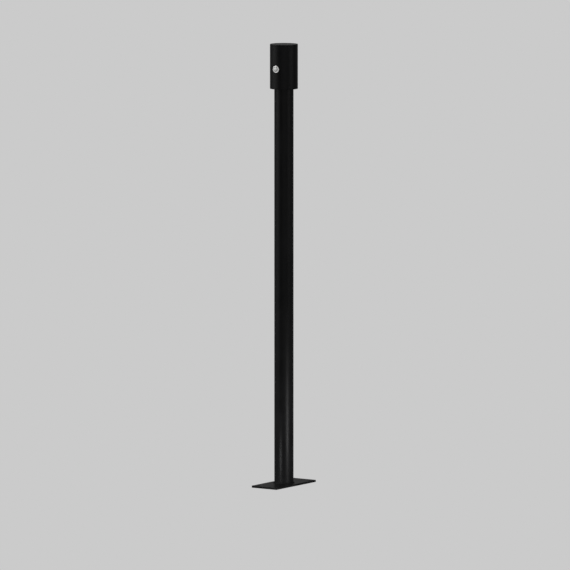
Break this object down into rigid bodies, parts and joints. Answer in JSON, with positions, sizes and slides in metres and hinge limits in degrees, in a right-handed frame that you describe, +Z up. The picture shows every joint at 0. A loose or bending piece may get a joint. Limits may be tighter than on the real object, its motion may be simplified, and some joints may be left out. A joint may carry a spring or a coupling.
{
  "type": "push-button post",
  "caption": "Floor-standing round steel post on an oblong bolted foot plate, with a wider cylindrical head that carries a round metal push-button on its front.",
  "frame": {"origin": "centre of the foot plate's underside, on the post's axis", "axes": "+Z up along the post; -Y to the front, the way the button faces, along the foot plate's length; +X across the foot plate"},
  "size_m": [0.075, 0.178, 1.113],
  "materials": {
    "black_coat": "black fine-texture powder coat, satin",
    "stainless_button": "turned stainless steel, satin",
    "black_screws": "blackened stainless steel",
    "zinc_steel": "bright zinc plate",
    "spring_steel": "drawn spring wire",
    "black_rubber": "moulded black rubber",
    "grey_plastic": "moulded grey polyamide",
    "black_plastic": "moulded black polyamide",
    "brass": "machined brass",
    "tinned_copper": "tinned copper",
    "blue_lead": "PVC insulation, blue",
    "green_lead": "PVC insulation, green with a yellow stripe",
    "red_sleeve": "shrink sleeve, red"
  },
  "bodies": {
    "post": {"base_plate": "black_coat", "base_weld": "black_coat", "post_tube": "black_coat", "head_collar": "black_coat", "head_tube": "black_coat", "head_cap": "black_coat", "button_bezel": "stainless_button", "button_nut": "stainless_button", "button_washer": "stainless_button", "cap_screws": "black_screws", "top_disc": "zinc_steel", "collar_set_screws": "zinc_steel", "tie_pillars": "zinc_steel", "terminal_bracket": "zinc_steel", "bracket_screws": "zinc_steel", "block_screws": "zinc_steel", "cable_clamp": "zinc_steel", "clamp_screws": "zinc_steel", "earth_screw": "zinc_steel", "earth_nut": "zinc_steel", "return_spring": "spring_steel", "cable_grommet": "black_rubber", "collar_o_ring": "black_rubber", "head_grommet": "black_rubber", "cap_o_ring": "black_rubber", "button_gasket": "black_rubber", "button_o_ring": "black_rubber", "terminal_block": "grey_plastic", "nut_saddle": "black_plastic", "switch_body": "black_plastic", "terminal_clamps": "brass", "terminal_screws": "brass", "fixed_contacts": "brass", "earth_lug": "tinned_copper", "switch_leads": "blue_lead", "earth_lead": "green_lead", "lead_sleeves": "red_sleeve"},
    "button": {"button_cap": "stainless_button", "button_plunger": "black_plastic", "button_clip": "stainless_button", "contact_bridge": "brass"}
  },
  "joints": [
    {"name": "button_press", "type": "slide", "parent": "post", "child": "button", "axis": [0, 1, 0], "range_m": [0, 0.0024], "stiffness_N_per_m": 1000, "springref_m": -0.003, "deforming": ["return_spring"]}
  ]
}
